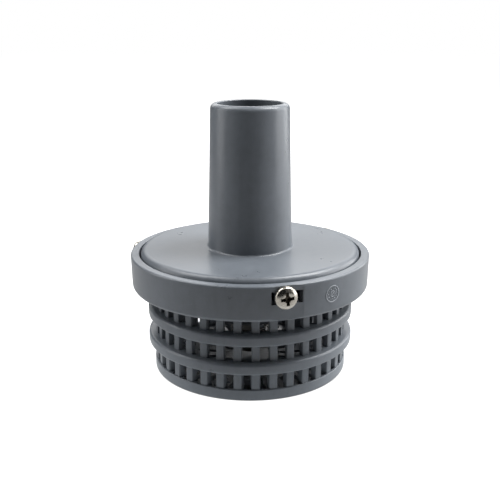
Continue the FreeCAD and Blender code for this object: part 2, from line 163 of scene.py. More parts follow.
def noise(tree: bpy.types.NodeTree, vector: bpy.types.NodeSocket, scale: float, detail: float = 2.0,
          roughness: float = 0.5) -> bpy.types.NodeSocket:
    """Noise on a vector.

    Args:
        tree: tree that gets the nodes.
        vector: where the noise is read.
        scale: features per metre.
        detail: octaves.
        roughness: share of each finer octave.

    Returns:
        The noise value's socket.
    """
    node = add_node(tree, "ShaderNodeTexNoise")
    node.inputs["Scale"].default_value = scale
    node.inputs["Detail"].default_value = detail
    node.inputs["Roughness"].default_value = roughness
    tree.links.new(vector, node.inputs["Vector"])
    return node.outputs["Fac"]


def remap(tree: bpy.types.NodeTree, value: bpy.types.NodeSocket, low: float, high: float,
          to_low: float = 0.0, to_high: float = 1.0) -> bpy.types.NodeSocket:
    """Stretch a range of values onto another, held at its ends.

    Args:
        tree: tree that gets the node.
        value: socket that is remapped.
        low: value that becomes to_low.
        high: value that becomes to_high.
        to_low: new low end.
        to_high: new high end.

    Returns:
        The remapped value's socket.
    """
    node = add_node(tree, "ShaderNodeMapRange")
    tree.links.new(value, node.inputs["Value"])
    for label, number in (("From Min", low), ("From Max", high), ("To Min", to_low), ("To Max", to_high)):
        node.inputs[label].default_value = number
    return node.outputs["Result"]


def calc(tree: bpy.types.NodeTree, operation: str, *terms: object) -> bpy.types.NodeSocket:
    """Do arithmetic on sockets and numbers.

    Args:
        tree: tree that gets the node.
        operation: the Math node's operation.
        terms: sockets or numbers.

    Returns:
        The result's socket.
    """
    node = add_node(tree, "ShaderNodeMath", operation=operation)
    for i, term in enumerate(terms):
        if isinstance(term, bpy.types.NodeSocket):
            tree.links.new(term, node.inputs[i])
        else:
            node.inputs[i].default_value = float(term)
    return node.outputs[0]


class MouldGrain(NodeGroup):
    """Fine grain of a moulded skin with slow swells, as a height and as a patch value."""

    name = "mould_grain"
    inputs = (("Fine scale", "NodeSocketFloat", 5000.0), ("Swell", "NodeSocketFloat", 0.5))
    outputs = (("Height", "NodeSocketFloat"), ("Patches", "NodeSocketFloat"))

    def fill(self, tree: bpy.types.NodeTree, given: bpy.types.Node, result: bpy.types.Node) -> None:
        """Mix fine grain with broad sink marks; see NodeGroup.fill."""
        here = add_node(tree, "ShaderNodeTexCoord").outputs["Object"]
        fine = add_node(tree, "ShaderNodeTexNoise")
        fine.inputs["Detail"].default_value = 2.0
        tree.links.new(here, fine.inputs["Vector"])
        tree.links.new(given.outputs["Fine scale"], fine.inputs["Scale"])
        broad = noise(tree, here, 45.0, 2.0)
        swell = calc(tree, "MULTIPLY", broad, given.outputs["Swell"])
        tree.links.new(calc(tree, "ADD", calc(tree, "MULTIPLY", fine.outputs["Fac"], 0.25), swell),
                       result.inputs["Height"])
        patches = calc(tree, "ADD", calc(tree, "MULTIPLY", broad, 0.6), calc(tree, "MULTIPLY", noise(
            tree, here, 260.0, 3.0, 0.6), 0.4))
        tree.links.new(patches, result.inputs["Patches"])


class FlowLines(NodeGroup):
    """Faint streaks left by the melt, drawn out along the part's axis."""

    name = "flow_lines"
    outputs = (("Streaks", "NodeSocketFloat"),)

    def fill(self, tree: bpy.types.NodeTree, given: bpy.types.Node, result: bpy.types.Node) -> None:
        """Read noise on squeezed coordinates; see NodeGroup.fill."""
        here = add_node(tree, "ShaderNodeTexCoord").outputs["Object"]
        drawn = add_node(tree, "ShaderNodeMapping")
        drawn.inputs["Scale"].default_value = (1.0, 1.0, 0.08)
        tree.links.new(here, drawn.inputs["Vector"])
        tree.links.new(remap(tree, noise(tree, drawn.outputs["Vector"], 420.0, 3.0, 0.55), 0.35, 0.65),
                       result.inputs["Streaks"])


class EdgeRubAndCreviceShade(NodeGroup):
    """Mask of rubbed outer edges, broken up so that it isn't an even line, and a mask of hollows for painted
    shade.
    """

    name = "edge_rub_and_crevice_shade"
    inputs = (("Reach", "NodeSocketFloat", 0.05),)
    outputs = (("Mask", "NodeSocketFloat"), ("Painted crevice shade", "NodeSocketFloat"))

    def fill(self, tree: bpy.types.NodeTree, given: bpy.types.Node, result: bpy.types.Node) -> None:
        """Turn pointiness into an edge mask and a crevice mask for painted shade; see NodeGroup.fill."""
        here = add_node(tree, "ShaderNodeTexCoord").outputs["Object"]
        point = add_node(tree, "ShaderNodeNewGeometry").outputs["Pointiness"]
        edge = add_node(tree, "ShaderNodeMapRange")
        tree.links.new(point, edge.inputs["Value"])
        edge.inputs["From Min"].default_value = 0.505
        tree.links.new(calc(tree, "ADD", given.outputs["Reach"], 0.505), edge.inputs["From Max"])
        broken = remap(tree, noise(tree, here, 900.0, 3.0, 0.6), 0.3, 0.7, 0.35, 1.0)
        tree.links.new(calc(tree, "MULTIPLY", edge.outputs["Result"], broken), result.inputs["Mask"])
        tree.links.new(remap(tree, point, 0.495, 0.44), result.inputs["Painted crevice shade"])


class Specks(NodeGroup):
    """Sparse dust specks and hairline scuffs."""

    name = "specks"
    inputs = (("Amount", "NodeSocketFloat", 0.5),)
    outputs = (("Dust", "NodeSocketFloat"), ("Scuffs", "NodeSocketFloat"))

    def fill(self, tree: bpy.types.NodeTree, given: bpy.types.Node, result: bpy.types.Node) -> None:
        """Threshold cells for dust and stretched noise for scuffs; see NodeGroup.fill."""
        here = add_node(tree, "ShaderNodeTexCoord").outputs["Object"]
        cells = add_node(tree, "ShaderNodeTexVoronoi")
        cells.inputs["Scale"].default_value = 650.0
        tree.links.new(here, cells.inputs["Vector"])
        dots = remap(tree, cells.outputs["Distance"], 0.10, 0.05)
        sparse = remap(tree, noise(tree, here, 120.0, 2.0), 0.56, 0.66)
        dust = calc(tree, "MULTIPLY", calc(tree, "MULTIPLY", dots, sparse), given.outputs["Amount"])
        tree.links.new(dust, result.inputs["Dust"])
        skewed = add_node(tree, "ShaderNodeMapping")
        skewed.inputs["Rotation"].default_value = (0.5, 0.9, 0.3)
        skewed.inputs["Scale"].default_value = (1.0, 14.0, 1.0)
        tree.links.new(here, skewed.inputs["Vector"])
        hair = remap(tree, noise(tree, skewed.outputs["Vector"], 90.0, 2.0, 0.6), 0.66, 0.72)
        tree.links.new(calc(tree, "MULTIPLY", hair, given.outputs["Amount"]), result.inputs["Scuffs"])


# ---- finishes -------------------------------------------------------------------------------------


def place_group(tree: bpy.types.NodeTree, group: NodeGroup, **values: float) -> bpy.types.Node:
    """Place a group in a material with its own values.

    Args:
        tree: the material's tree.
        group: group to place.
        values: input values, with underscores for spaces.

    Returns:
        The group node.
    """
    node = add_node(tree, "ShaderNodeGroup", node_tree=group.tree())
    for label, value in values.items():
        node.inputs[label.replace("_", " ")].default_value = value
    return node


def mix_colour(tree: bpy.types.NodeTree, share: bpy.types.NodeSocket, first: object,
               second: object) -> bpy.types.NodeSocket:
    """Mix two colours by a mask.

    Args:
        tree: the material's tree.
        share: mask, 0 for the first colour.
        first: colour or socket.
        second: colour or socket.

    Returns:
        The mixed colour's socket.
    """
    node = add_node(tree, "ShaderNodeMix", data_type="RGBA")
    tree.links.new(share, node.inputs[0])
    for index, colour in ((6, first), (7, second)):
        if isinstance(colour, bpy.types.NodeSocket):
            tree.links.new(colour, node.inputs[index])
        else:
            node.inputs[index].default_value = (*colour, 1.0)
    return node.outputs[2]


def bump(tree: bpy.types.NodeTree, height: bpy.types.NodeSocket, depth: float,
         strength: float = 1.0) -> bpy.types.NodeSocket:
    """Turn a height into a normal.

    Args:
        tree: the material's tree.
        height: height from 0 to 1.
        depth: what a height of 1 stands for, in metres.
        strength: share of the effect.

    Returns:
        The normal's socket.
    """
    node = add_node(tree, "ShaderNodeBump")
    node.inputs["Distance"].default_value = depth
    node.inputs["Strength"].default_value = strength
    tree.links.new(height, node.inputs["Height"])
    return node.outputs["Normal"]


@dataclass(frozen=True)
class Finish:
    """What every finish has: a name, a base colour and a roughness."""

    name: str
    colour: Tuple[float, float, float]
    roughness: float

    def material(self) -> bpy.types.Material:
        """Find this finish's material, or make it the first time.

        Returns:
            The material.
        """
        found = bpy.data.materials.get(self.name)
        if found is not None:
            return found
        made = bpy.data.materials.new(self.name)
        made.use_nodes = True
        made.diffuse_color = (*self.colour, 1.0)
        tree = made.node_tree
        self.dress(tree, tree.nodes["Principled BSDF"])
        return made

    def dress(self, tree: bpy.types.NodeTree, skin: bpy.types.Node) -> None:
        """Set up the material's nodes.

        Args:
            tree: the material's tree.
            skin: its Principled BSDF.
        """
        raise NotImplementedError


@dataclass(frozen=True)
class MouldedPlastic(Finish):
    """Satin injection-moulded plastic with flow lines, fine grain, rubbed edges and a little dust."""

    grain_depth: float = 0.012 * MM
    streak_share: float = 0.35
    rub: float = 0.35
    dust: float = 0.5

    def dress(self, tree: bpy.types.NodeTree, skin: bpy.types.Node) -> None:
        """Set up the plastic's nodes; see Finish.dress."""
        grain = place_group(tree, MouldGrain(), Fine_scale=5200.0, Swell=0.9)
        flow = place_group(tree, FlowLines())
        rub_and_shade_masks = place_group(tree, EdgeRubAndCreviceShade(), Reach=0.06)
        specks = place_group(tree, Specks(), Amount=self.dust)
        darker = tuple(c * 0.88 for c in self.colour)
        lighter = tuple(min(1.0, c * 1.10) for c in self.colour)
        tone = mix_colour(tree, remap(tree, grain.outputs["Patches"], 0.35, 0.65), darker, lighter)
        streaked = mix_colour(tree, calc(tree, "MULTIPLY", flow.outputs["Streaks"], self.streak_share), tone,
                              tuple(c * 1.13 for c in self.colour))
        pale = tuple(min(1.0, c * 1.7 + 0.02) for c in self.colour)
        edged = mix_colour(tree, calc(tree, "MULTIPLY", rub_and_shade_masks.outputs["Mask"], self.rub), streaked, pale)
        dusty = mix_colour(tree, specks.outputs["Dust"], edged, (0.55, 0.54, 0.52))
        tree.links.new(dusty, skin.inputs["Base Color"])
        rough = remap(tree, grain.outputs["Patches"], 0.3, 0.7, self.roughness - 0.05, self.roughness + 0.06)
        rough = calc(tree, "ADD", rough, calc(tree, "MULTIPLY", flow.outputs["Streaks"], 0.03))
        rough = calc(tree, "ADD", rough, calc(tree, "MULTIPLY", specks.outputs["Scuffs"], 0.12))
        tree.links.new(rough, skin.inputs["Roughness"])
        height = calc(tree, "SUBTRACT", grain.outputs["Height"],
                      calc(tree, "MULTIPLY", specks.outputs["Scuffs"], 0.3))
        tree.links.new(bump(tree, height, self.grain_depth), skin.inputs["Normal"])
        skin.inputs["IOR"].default_value = 1.5


@dataclass(frozen=True)
class BrightMetal(Finish):
    """Metal with a plated or turned skin: fine brushing, cloudy tarnish, and painted shade that darkens its
    crevices.
    """

    brush_scale: float = 2500.0
    # one dark colour for the cloudy tarnish stains and for the painted shade in the crevices
    stain_and_shade_colour: Tuple[float, float, float] = (0.16, 0.14, 0.12)
    crevice_shade_share: float = 0.6

    def dress(self, tree: bpy.types.NodeTree, skin: bpy.types.Node) -> None:
        """Set up the metal's nodes; see Finish.dress."""
        here = add_node(tree, "ShaderNodeTexCoord").outputs["Object"]
        rub_and_shade_masks = place_group(tree, EdgeRubAndCreviceShade(), Reach=0.12)
        specks = place_group(tree, Specks(), Amount=0.5)
        cloud = remap(tree, noise(tree, here, 700.0, 4.0, 0.6), 0.35, 0.7)
        # cloudy tarnish stains, raised to painted shade wherever the pointiness mask finds a crevice
        stain_and_shade = calc(tree, "MULTIPLY", cloud, 0.22)
        stain_and_shade = calc(tree, "MAXIMUM", stain_and_shade, calc(
            tree, "MULTIPLY", rub_and_shade_masks.outputs["Painted crevice shade"], self.crevice_shade_share))
        colour = mix_colour(tree, stain_and_shade, self.colour, self.stain_and_shade_colour)
        tree.links.new(colour, skin.inputs["Base Color"])
        rough = remap(tree, cloud, 0.0, 1.0, self.roughness - 0.04, self.roughness + 0.10)
        rough = calc(tree, "ADD", rough, calc(tree, "MULTIPLY", specks.outputs["Scuffs"], 0.15))
        tree.links.new(rough, skin.inputs["Roughness"])
        skin.inputs["Metallic"].default_value = 1.0
        brushed = noise(tree, here, self.brush_scale, 2.0)
        tree.links.new(bump(tree, brushed, 0.004 * MM), skin.inputs["Normal"])


@dataclass(frozen=True)
class Rubber(Finish):
    """Dull moulded rubber with bloom and a fine texture."""

    def dress(self, tree: bpy.types.NodeTree, skin: bpy.types.Node) -> None:
        """Set up the rubber's nodes; see Finish.dress."""
        grain = place_group(tree, MouldGrain(), Fine_scale=3500.0, Swell=0.3)
        specks = place_group(tree, Specks(), Amount=0.9)
        bloom = tuple(c + 0.035 for c in self.colour)
        tone = mix_colour(tree, remap(tree, grain.outputs["Patches"], 0.4, 0.7), self.colour, bloom)
        tree.links.new(mix_colour(tree, specks.outputs["Dust"], tone, (0.35, 0.34, 0.32)),
                       skin.inputs["Base Color"])
        tree.links.new(remap(tree, grain.outputs["Patches"], 0.3, 0.7, self.roughness - 0.08,
                             self.roughness + 0.08), skin.inputs["Roughness"])
        tree.links.new(bump(tree, grain.outputs["Height"], 0.02 * MM), skin.inputs["Normal"])
        skin.inputs["IOR"].default_value = 1.52


GREY_PLASTIC = MouldedPlastic("moulded_grey_plastic", (0.142, 0.158, 0.179), 0.30, dust=0.15)
BODY_PLASTIC = MouldedPlastic("moulded_body_plastic", (0.085, 0.095, 0.108), 0.40, rub=0.2)
BEARING_PLASTIC = MouldedPlastic("bearing_plastic", (0.62, 0.60, 0.55), 0.42, rub=0.1, dust=0.2)
PLATED_STEEL = BrightMetal("plated_screw_steel", (0.62, 0.585, 0.52), 0.25)
# near-black steel for the screw's cross recess: painted shade that stands in for the shadow and dark
# reflections inside the recess
SHADED_RECESS_STEEL = BrightMetal("painted_shade_recess_steel", (0.10, 0.085, 0.065), 0.45)
# the inner steel parts are coloured much darker than bare steel: painted shade for the dark inside of the
# basket, which also damps their glints
STAINLESS = BrightMetal("shade_dimmed_stainless", (0.22, 0.217, 0.207), 0.40, brush_scale=3200.0)
SPRING_WIRE = BrightMetal("shade_dimmed_spring_wire", (0.17, 0.17, 0.166), 0.42, brush_scale=4000.0)
# lighter grey for the raised dial: a painted highlight for the light its raised lines catch, plus strong edge
# wear
HIGHLIT_MARK_PLASTIC = MouldedPlastic("painted_highlight_grey_plastic", (0.29, 0.31, 0.34), 0.34, rub=0.6, dust=0.2)
BLACK_RUBBER = Rubber("black_rubber", (0.018, 0.018, 0.019), 0.62)


# ---- mesh helpers ---------------------------------------------------------------------------------


@dataclass(frozen=True)
class Corner:
    """One corner of a turned section: distance off the axis, height, and how round it is."""

    r: float
    z: float
    soft: float = 0.0


def on_bearing(r: float, z: float, bearing: float) -> Vector:
    """Point at a distance off the axis, a height and a bearing from -Y towards +X (radians)."""
    return Vector((r * math.sin(bearing), -r * math.cos(bearing), z))


def turned(corners: Sequence[Corner], steps: int, span: float = FULL_TURN, arc_steps: int = 4,
           bearing: float = 0.0) -> bmesh.types.BMesh:
    """Turn a closed section about the valve's axis.

    Args:
        corners: the section's corners, in order.
        steps: faces round the span.
        span: angle turned, a full turn or a sector.
        arc_steps: faces on each rounded corner.
        bearing: where the turn starts.

    Returns:
        A mesh, closed for a full turn.
    """
    bm = bmesh.new()
    verts = [bm.verts.new(on_bearing(c.r, c.z, bearing)) for c in corners]
    for i, vert in enumerate(verts):
        bm.edges.new((vert, verts[(i + 1) % len(verts)]))
    places = [Vector((c.r, c.z)) for c in corners]
    for i, corner in enumerate(corners):
        if corner.soft <= 0.0:
            continue
        back = places[i - 1] - places[i]
        ahead = places[(i + 1) % len(places)] - places[i]
        reach = corner.soft / math.tan(back.angle(ahead) / 2)
        bmesh.ops.bevel(bm, geom=[verts[i]], offset=reach, offset_type="OFFSET", segments=arc_steps,
                        profile=0.5, affect="VERTICES", material=-1)
    full = abs(span - FULL_TURN) < 1e-6
    bmesh.ops.spin(bm, geom=bm.verts[:] + bm.edges[:], cent=CENTRE, axis=UP, dvec=CENTRE, angle=span,
                   steps=steps, use_merge=full, use_duplicate=False)
    tidy(bm)
    return bm


def tidy(bm: bmesh.types.BMesh) -> None:
    """Weld doubles, drop faces with no area and point the rest outwards."""
    bmesh.ops.remove_doubles(bm, verts=bm.verts[:], dist=WELD)
    bmesh.ops.dissolve_degenerate(bm, edges=bm.edges[:], dist=WELD)
    bmesh.ops.recalc_face_normals(bm, faces=bm.faces[:])


def repeat_round(bm: bmesh.types.BMesh, count: int) -> None:
    """Copy a sector round the axis until it closes the turn, and weld the seams.

    Args:
        bm: mesh that holds one sector.
        count: sectors in a full turn.
    """
    bmesh.ops.spin(bm, geom=bm.verts[:] + bm.edges[:] + bm.faces[:], cent=CENTRE, axis=UP, dvec=CENTRE,
                   angle=FULL_TURN * (count - 1) / count, steps=count - 1, use_duplicate=True)
    tidy(bm)


def absorb(bm: bmesh.types.BMesh, other: bmesh.types.BMesh, place: Optional[Matrix] = None) -> None:
    """Move another mesh into this one and free it.

    Args:
        bm: mesh that grows.
        other: mesh that is used up.
        place: where it goes.
    """
    if place is not None:
        bmesh.ops.transform(other, matrix=place, verts=other.verts[:])
    carrier = bpy.data.meshes.new("carrier")
    other.to_mesh(carrier)
    other.free()
    bm.from_mesh(carrier)
    bpy.data.meshes.remove(carrier)


def cut_along(bm: bmesh.types.BMesh, keep: Callable[[Vector], bool], point: Vector, normal: Vector) -> None:
    """Cut the faces whose middle passes a test by a plane, with nothing removed.

    Args:
        bm: mesh to cut.
        keep: test on a face's middle.
        point: point on the plane.
        normal: the plane's normal.
    """
    faces = [f for f in bm.faces if keep(f.calc_center_median())]
    edges = {e for f in faces for e in f.edges}
    verts = {v for f in faces for v in f.verts}
    bmesh.ops.bisect_plane(bm, geom=list(verts) + list(edges) + faces, dist=WELD / 2, plane_co=point,
                           plane_no=normal)


@dataclass(frozen=True)
class Window:
    """Opening through a wall that faces -Y; its sides may draw in towards the inside."""

    half_outer: float
    half_inner: float
    low: float
    high: float
    near: float
    far: float

    def half_at(self, point: Vector) -> float:
        """Half-width on the side of the wall that a point is on."""
        return self.half_outer if -point.y > (self.near + self.far) / 2 else self.half_inner

    def holds(self, point: Vector, margin: float = 0.0) -> bool:
        """Whether a point lies in the opening grown by a margin."""
        wide = abs(point.x) < self.half_at(point) + margin
        tall = self.low - margin < point.z < self.high + margin
        deep = self.near < -point.y < self.far
        return wide and tall and deep

    def surrounds(self, point: Vector) -> bool:
        """Whether a point lies in the opening grown by its own height."""
        return self.holds(point, self.high - self.low)

    def surrounds_at(self, half: float, point: Vector) -> bool:
        """Whether the grown opening holds a point on the side of the wall with this half-width."""
        return self.surrounds(point) and self.half_at(point) == half

    def cut(self, bm: bmesh.types.BMesh, edge: float = 0.0) -> None:
        """Open the window and close its reveal.

        Args:
            bm: wall to open.
            edge: rounding of the upright edges, 0 for none.
        """
        tall = self.high - self.low
        for side in (-1.0, 1.0):
            for half in {self.half_outer, self.half_inner}:
                cut_along(bm, partial(self.surrounds_at, half), Vector((side * half, 0, 0)), ACROSS)
        for height in (self.low, self.high):
            cut_along(bm, self.surrounds, Vector((0, 0, height)), UP)
        doomed = [f for f in bm.faces if self.holds(f.calc_center_median()) and abs(f.normal.z) < LEVEL]
        rim = {e for f in doomed for e in f.edges}
        bmesh.ops.delete(bm, geom=doomed, context="FACES_ONLY")
        rim = [e for e in rim if e.is_valid and e.is_boundary]
        bmesh.ops.delete(bm, geom=[e for e in bm.edges if e.is_wire], context="EDGES")
        made = bmesh.ops.bridge_loops(bm, edges=rim)["faces"]
        if edge > 0.0:
            upright = {e for f in made for e in f.edges
                       if abs(e.verts[0].co.z - e.verts[1].co.z) > tall * UPRIGHT_SHARE and not e.is_boundary}
            bmesh.ops.bevel(bm, geom=list(upright), offset=edge, offset_type="OFFSET", segments=2,
                            profile=0.5, affect="EDGES", material=-1)


def radial_place(bearing: float, distance: float, height: float) -> Matrix:
    """Matrix that stands a shape made along +Z out from the axis at a bearing, its base at a distance."""
    out = Matrix.Rotation(math.radians(90), 4, "X")
    return Matrix.Rotation(bearing, 4, "Z") @ Matrix.Translation((0, -distance, height)) @ out


@dataclass
class SubAssembly:
    """A group of pieces that are built and dressed together."""

    pieces: List[bpy.types.Object] = field(default_factory=list, init=False)

    def add(self, name: str, bm: bmesh.types.BMesh, finish: Finish, body: Body, slot: Slot,
            replaces: Sequence[str]) -> bpy.types.Object:
        """Turn a finished mesh into a piece that rides on its body.

        Args:
            name: the piece's name.
            bm: its mesh, used up.
            finish: its finish.
            body: body it rides on.
            slot: the record's finish for it; not used.
            replaces: CAD nodes it stands for.

        Returns:
            The new object.
        """
        for edge in bm.edges:
            edge.smooth = edge.calc_face_angle(0.0) < SMOOTH_ANGLE and not edge.seam
        for face in bm.faces:
            face.smooth = True
        mesh = bpy.data.meshes.new(name)
        bm.to_mesh(mesh)
        bm.free()
        mesh.materials.append(finish.material())
        piece = bpy.data.objects.new(name, mesh)
        bpy.context.scene.collection.objects.link(piece)
        normals = piece.modifiers.new("even_normals", "WEIGHTED_NORMAL")
        normals.keep_sharp = True
        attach(piece, body.value)
        if replaces:
            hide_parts(*replaces)
        self.pieces.append(piece)
        return piece

    def dress_node(self, node: str, finish: Finish) -> None:
        """Give a CAD node that stays in view a finish in each of its slots."""
        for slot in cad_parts[node].material_slots:
            slot.material = finish.material()

    def build(self) -> None:
        """Build every piece of the group."""
        raise NotImplementedError


# ---- strainer basket ------------------------------------------------------------------------------


@dataclass
class StrainerBasket(SubAssembly):
    """Basket with three rows of windows between rounded hoops, and a slotted floor."""

    window_count: int = 36
    rows: int = 3
    window_bearing: float = math.radians(-1.885)
    window_width: float = 3.8 * MM
    window_inner: float = 3.45 * MM
    window_height: float = 7.1 * MM
    hoop_height: float = 4.6 * MM
    hoop_radius: float = 43.4 * MM
    hoop_round: float = 1.1 * MM
    wall_outer: float = 40.4 * MM
    wall: float = 2.4 * MM
    band_radius: float = 41.0 * MM
    band_height: float = 4.6 * MM
    floor: float = 2.2 * MM
    flange: float = 2.0 * MM
    hub_radius: float = 9.0 * MM
    rib_inner: float = 23.5 * MM
    rib_outer: float = 26.5 * MM
    slot_outer: float = 35.0 * MM
    slot_width: float = 2.4 * MM
    edge: float = 0.45 * MM
    sector_steps: int = 6

    def build(self) -> None:
        """Build the basket as one sector, open its windows and repeat it round."""
        sector = FULL_TURN / self.window_count
        bm = turned(self.section(), self.sector_steps, sector, 4, -sector / 2)
        inner = self.wall_outer - self.wall
        pitch = self.window_height + self.hoop_height
        for row in range(self.rows):
            low = self.band_height + row * pitch
            Window(self.window_width / 2, self.window_inner / 2, low, low + self.window_height, inner * 0.97,
                   self.wall_outer * 1.01).cut(bm, self.edge)
        self.open_floor(bm, self.rib_outer, self.slot_outer)
        bm = self.with_inner_slots(bm, sector)
        repeat_round(bm, self.window_count // 2)
        turn = Matrix.Rotation(self.window_bearing, 3, "Z")
        bmesh.ops.rotate(bm, cent=CENTRE, matrix=turn, verts=bm.verts[:])
        self.add("strainer_basket_skin", bm, GREY_PLASTIC, Body.HOUSING, Slot.GREY_PLASTIC,
                 ["strainer_basket"])

    def section(self) -> List[Corner]:
        """Section through a bar, from the middle of the floor's underside outwards and back.

        Returns:
            The section's corners.
        """
        low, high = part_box("strainer_basket")
        flange_radius = high.y
        inner = self.wall_outer - self.wall
        corners = [
            Corner(0.0, low.z), Corner(self.hub_radius, low.z), Corner(self.rib_inner, low.z),
            Corner(self.rib_outer, low.z), Corner(self.slot_outer, low.z),
            Corner(self.band_radius, low.z, 0.9 * MM), Corner(self.band_radius, self.band_height, 0.4 * MM),
            Corner(self.wall_outer, self.band_height),
        ]
        pitch = self.window_height + self.hoop_height
        for row in range(1, self.rows):
            hoop = self.band_height + row * pitch - self.hoop_height
            corners += [
                Corner(self.wall_outer, hoop), Corner(self.hoop_radius, hoop, self.hoop_round),
                Corner(self.hoop_radius, hoop + self.hoop_height, self.hoop_round),
                Corner(self.wall_outer, hoop + self.hoop_height),
            ]
        neck = self.band_height + self.rows * pitch - self.hoop_height
        top = high.z
        corners += [
            Corner(self.wall_outer, neck), Corner(self.hoop_radius, neck, 0.4 * MM),
            Corner(self.hoop_radius, top - self.flange, 0.3 * MM),
            Corner(flange_radius, top - self.flange, 0.3 * MM),
            Corner(flange_radius, top, 0.3 * MM), Corner(inner, top, 0.3 * MM),
            Corner(inner, self.floor, 0.8 * MM), Corner(self.slot_outer, self.floor),
            Corner(self.rib_outer, self.floor), Corner(self.rib_inner, self.floor),
            Corner(self.hub_radius, self.floor), Corner(0.0, self.floor),
        ]
        return corners

    def in_floor_ring(self, near: float, far: float, point: Vector) -> bool:
        """Whether a point lies in the floor between two distances off the axis."""
        return near < point.xy.length < far and point.z < self.floor * 1.1

    def open_floor(self, bm: bmesh.types.BMesh, near: float, far: float) -> None:
        """Cut one slot through the floor along -Y.

        Args:
            bm: sector of the basket.
            near: slot's start off the axis.
            far: slot's end.
        """
        half = self.slot_width / 2
        within = partial(self.in_floor_ring, near, far)
        for side in (-1.0, 1.0):
            cut_along(bm, within, Vector((side * half, 0, 0)), ACROSS)
        doomed = [f for f in bm.faces if within(f.calc_center_median())
                  and abs(f.calc_center_median().x) < half and abs(f.normal.z) > LEVEL]
        rim = {e for f in doomed for e in f.edges}
        bmesh.ops.delete(bm, geom=doomed, context="FACES_ONLY")
        rim = [e for e in rim if e.is_valid and e.is_boundary]
        bmesh.ops.delete(bm, geom=[e for e in bm.edges if e.is_wire], context="EDGES")
        bmesh.ops.bridge_loops(bm, edges=rim)

    def with_inner_slots(self, bm: bmesh.types.BMesh, sector: float) -> bmesh.types.BMesh:
        """Join a sector with an inner slot to one without.

        Args:
            bm: one sector, used up.
            sector: its angle.

        Returns:
            The double sector.
        """
        plain = bm.copy()
        self.open_floor(bm, self.hub_radius, self.rib_inner)
        absorb(bm, plain, Matrix.Rotation(sector, 4, "Z"))
        return bm


# ---- clamp ring -----------------------------------------------------------------------------------


